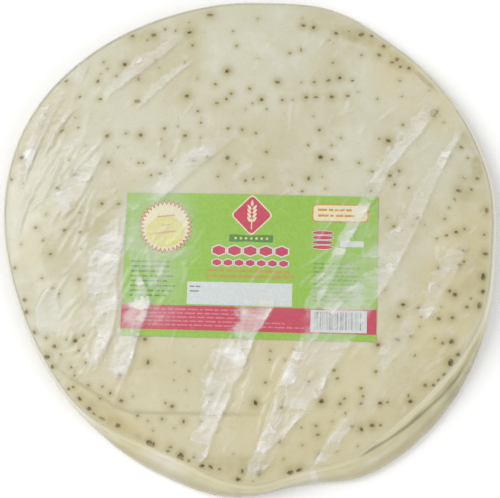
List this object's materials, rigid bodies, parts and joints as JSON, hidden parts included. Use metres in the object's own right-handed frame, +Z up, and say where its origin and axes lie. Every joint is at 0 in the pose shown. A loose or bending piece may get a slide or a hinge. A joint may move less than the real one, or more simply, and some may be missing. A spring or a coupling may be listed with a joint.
{
  "type": "bagged stack of round lavash flatbreads",
  "caption": "Flat clear bag of round soft flatbreads lying in a stack, lower breads stepping out at one side, with a printed paper label under the film on top.",
  "frame": {"origin": "on the resting face, under the middle of the pack's box", "axes": "+Z up out of the labelled top, +X along the label from left to right, +Y towards the label's top edge"},
  "size_m": [0.3086, 0.3124, 0.024],
  "materials": {
    "film": "clear crinkled polypropylene film drawn over soft flatbread",
    "bread": "soft floury flatbread with scorched blisters",
    "label_paper": "printed uncoated paper, green with a red band"
  },
  "bodies": {
    "root": {"bag": "film", "label": "label_paper"}
  },
  "joints": []
}
